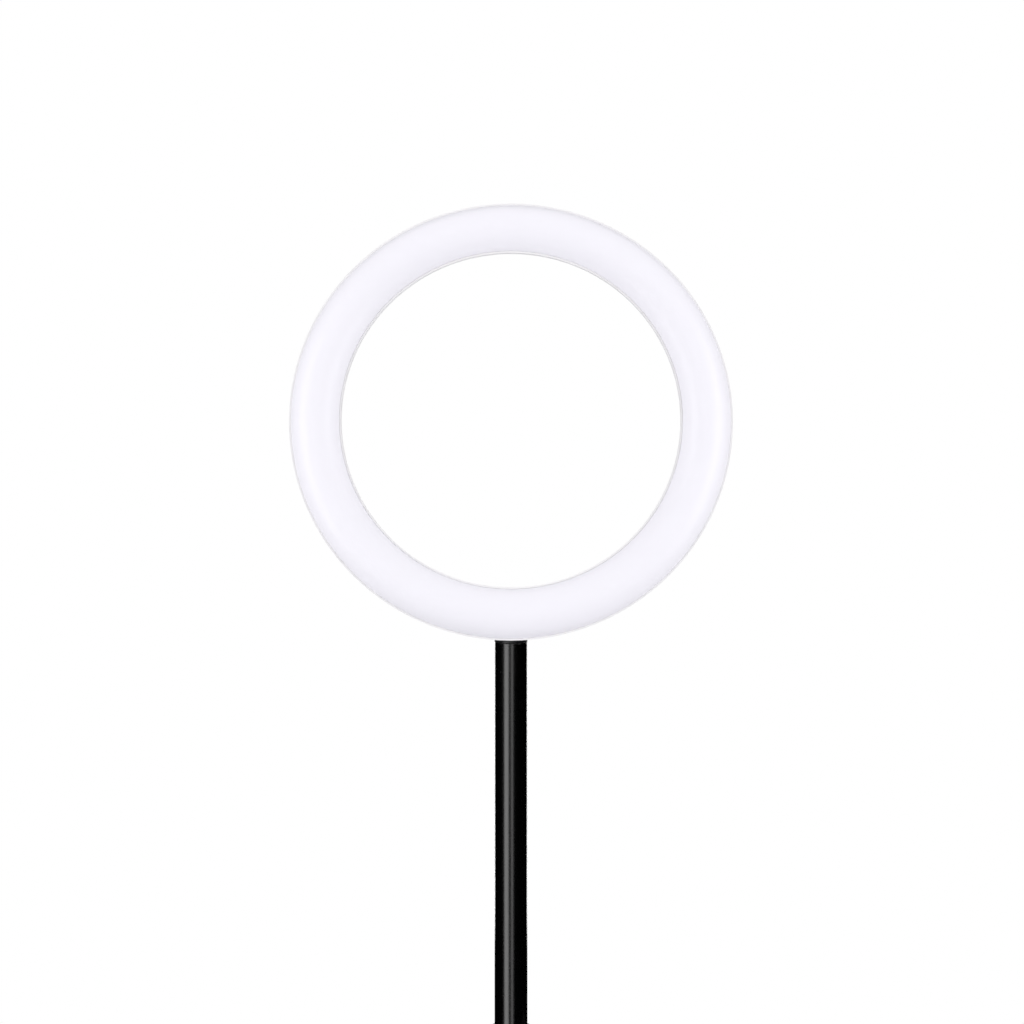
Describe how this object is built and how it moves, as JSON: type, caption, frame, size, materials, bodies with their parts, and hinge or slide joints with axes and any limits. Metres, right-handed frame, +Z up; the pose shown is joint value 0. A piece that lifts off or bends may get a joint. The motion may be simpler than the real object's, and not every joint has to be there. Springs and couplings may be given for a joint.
{
  "type": "ring light",
  "caption": "Desktop ring light: a domed ring diffuser on a tilting bracket, a telescopic column with a lock knob, and a weighted round base.",
  "frame": {"origin": "on the table under the column's axis, at the middle of the base's underside", "axes": "+Z up along the column; -Y the way the light shines; +X to the right as seen from in front of the light"},
  "size_m": [0.26, 0.2, 0.7287],
  "materials": {
    "opal_plastic": "satin",
    "white_plastic": "satin",
    "board": "satin",
    "green_board": "satin",
    "cool_led": "gloss",
    "warm_led": "gloss",
    "zinc_steel": "satin",
    "black_oxide": "satin",
    "black_enamel": "gloss",
    "black_cast": "satin",
    "black_plastic": "satin",
    "grey_button": "satin",
    "nylon": "satin",
    "brass": "satin",
    "iron": "rough",
    "pad_rubber": "matte",
    "wire_black": "satin",
    "wire_red": "satin",
    "socket_shell": "satin",
    "lens": "gloss"
  },
  "bodies": {
    "lower_column": {"lower_tube": "black_enamel", "collar_bush": "black_plastic", "lock_collar": "black_cast", "collar_screw": "black_oxide", "base_trim": "black_plastic", "tube_socket": "zinc_steel", "base_cover": "black_enamel", "base_weight": "iron", "base_washer": "zinc_steel", "base_bolt": "zinc_steel", "base_pad": "pad_rubber"},
    "column_guide": {"guide_bush": "nylon"},
    "upper_column": {"upper_tube": "black_enamel", "bush_clip": "zinc_steel", "yoke": "black_cast", "yoke_screws": "black_oxide", "tilt_bolt": "zinc_steel", "friction_washers": "nylon"},
    "head": {"diffuser": "opal_plastic", "rear_housing": "white_plastic", "led_board": "board", "cool_leds": "cool_led", "warm_leds": "warm_led", "board_screws": "zinc_steel", "control_pod_cover": "white_plastic", "power_pod_cover": "white_plastic", "pod_screws": "zinc_steel", "control_board": "green_board", "button_switches": "black_plastic", "power_board": "green_board", "usb_socket": "socket_shell", "status_lens": "lens", "link_wires": "wire_black", "feed_wires": "wire_red", "tilt_bracket": "black_cast", "bracket_screws": "black_oxide"},
    "tilt_clamp_washer": {"knob_washer": "zinc_steel"},
    "tilt_clamp_knob": {"tilt_knob": "black_plastic", "tilt_knob_insert": "brass"},
    "lock_clamp_pad": {"lock_pad": "brass"},
    "lock_clamp_knob": {"lock_knob": "black_plastic", "lock_screw": "zinc_steel"},
    "power_button_body": {"power_button": "grey_button"},
    "brighter_button_body": {"brighter_button": "grey_button"},
    "dimmer_button_body": {"dimmer_button": "grey_button"},
    "colour_button_body": {"colour_button": "grey_button"}
  },
  "joints": [
    {"name": "column_slide", "type": "slide", "parent": "lower_column", "child": "column_guide", "axis": [0, 0, 1], "range_m": [-0.09, 0.036]},
    {"name": "column_turn", "type": "hinge", "parent": "column_guide", "child": "upper_column", "pos_m": [0, 0, 0.2], "axis": [0, 0, 1], "continuous": true},
    {"name": "head_tilt", "type": "hinge", "parent": "upper_column", "child": "head", "pos_m": [0, 0, 0.481], "axis": [-1, 0, 0], "range_deg": [-40, 80]},
    {"name": "tilt_clamp_shift", "type": "slide", "parent": "upper_column", "child": "tilt_clamp_washer", "axis": [1, 0, 0], "range_m": [0, 0.001]},
    {"name": "tilt_knob_turn", "type": "hinge", "parent": "tilt_clamp_washer", "child": "tilt_clamp_knob", "pos_m": [0, 0, 0.481], "axis": [1, 0, 0], "range_deg": [0, 360]},
    {"name": "lock_pad_shift", "type": "slide", "parent": "lower_column", "child": "lock_clamp_pad", "axis": [1, 0, 0], "range_m": [0, 0.001]},
    {"name": "lock_knob_turn", "type": "hinge", "parent": "lock_clamp_pad", "child": "lock_clamp_knob", "pos_m": [0.02, 0, 0.21], "axis": [1, 0, 0], "range_deg": [0, 360]},
    {"name": "power_button_press", "type": "slide", "parent": "head", "child": "power_button_body", "axis": [0, -0.9936, 0.1132], "range_m": [0, 0.0005], "stiffness_N_per_m": 800, "springref_m": -0.0005},
    {"name": "brighter_button_press", "type": "slide", "parent": "head", "child": "brighter_button_body", "axis": [0, -0.9936, 0.1132], "range_m": [0, 0.0005], "stiffness_N_per_m": 800, "springref_m": -0.0005},
    {"name": "dimmer_button_press", "type": "slide", "parent": "head", "child": "dimmer_button_body", "axis": [0, -0.9936, 0.1132], "range_m": [0, 0.0005], "stiffness_N_per_m": 800, "springref_m": -0.0005},
    {"name": "colour_button_press", "type": "slide", "parent": "head", "child": "colour_button_body", "axis": [0, -0.9936, 0.1132], "range_m": [0, 0.0005], "stiffness_N_per_m": 800, "springref_m": -0.0005}
  ],
  "couplings": [
    {"joint": "tilt_clamp_shift", "follows": "tilt_knob_turn", "m_per_rad": 0.00015915},
    {"joint": "lock_pad_shift", "follows": "lock_knob_turn", "m_per_rad": 0.00015915}
  ]
}
